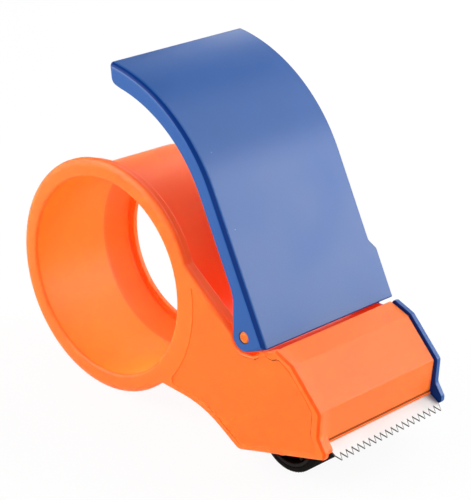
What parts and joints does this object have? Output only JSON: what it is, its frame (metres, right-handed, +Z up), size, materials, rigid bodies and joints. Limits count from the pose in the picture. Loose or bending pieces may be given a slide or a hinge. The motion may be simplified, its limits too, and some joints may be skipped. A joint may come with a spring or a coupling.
{
  "type": "packing tape dispenser",
  "caption": "Hand-held packing-tape dispenser: open hub for a tape roll, hooded head with a pressing roller and a serrated blade, and a curved hinged handle over the roll.",
  "frame": {"origin": "centre of the bounding box's base, on the surface that the roller stands on", "axes": "+Z up, +X from the tape hub towards the blade, +Y along the hub from the flange to its free end"},
  "size_m": [0.1468, 0.0644, 0.1197],
  "materials": {
    "orange_plastic": "satin moulded plastic, fine matte grain on the cheek's panel",
    "blue_plastic": "satin moulded plastic",
    "black_plastic": "plain moulded",
    "black_rubber": "matte with fine lengthwise ribs",
    "blade_steel": "polished strip, ground tooth edges",
    "bright_steel": "bright zinc",
    "nylon": "natural white"
  },
  "bodies": {
    "body": {"main_frame": "orange_plastic", "side_plate": "blue_plastic", "side_plate_screw_1": "bright_steel", "side_plate_screw_2": "bright_steel", "side_plate_screw_3": "bright_steel", "blade_bar": "orange_plastic", "blade": "blade_steel", "blade_screw_1": "bright_steel", "blade_screw_2": "bright_steel", "blade_screw_3": "bright_steel", "roller_axle": "bright_steel", "axle_clip": "bright_steel", "hinge_pin_near": "orange_plastic", "hinge_pin_far": "blue_plastic", "roller_washer_near": "nylon", "roller_washer_far": "nylon"},
    "handle": {"handle_shell": "blue_plastic"},
    "roller": {"roller_core": "black_plastic", "roller_tyre": "black_rubber", "roller_bush_near": "nylon", "roller_bush_far": "nylon"}
  },
  "joints": [
    {"name": "handle_hinge", "type": "hinge", "parent": "body", "child": "handle", "pos_m": [0.03438, 0, 0.0442], "axis": [0, -1, 0], "range_deg": [0, 20]},
    {"name": "roller_spin", "type": "hinge", "parent": "body", "child": "roller", "pos_m": [0.05093, 0, 0.0122], "axis": [0, 1, 0], "continuous": true}
  ]
}
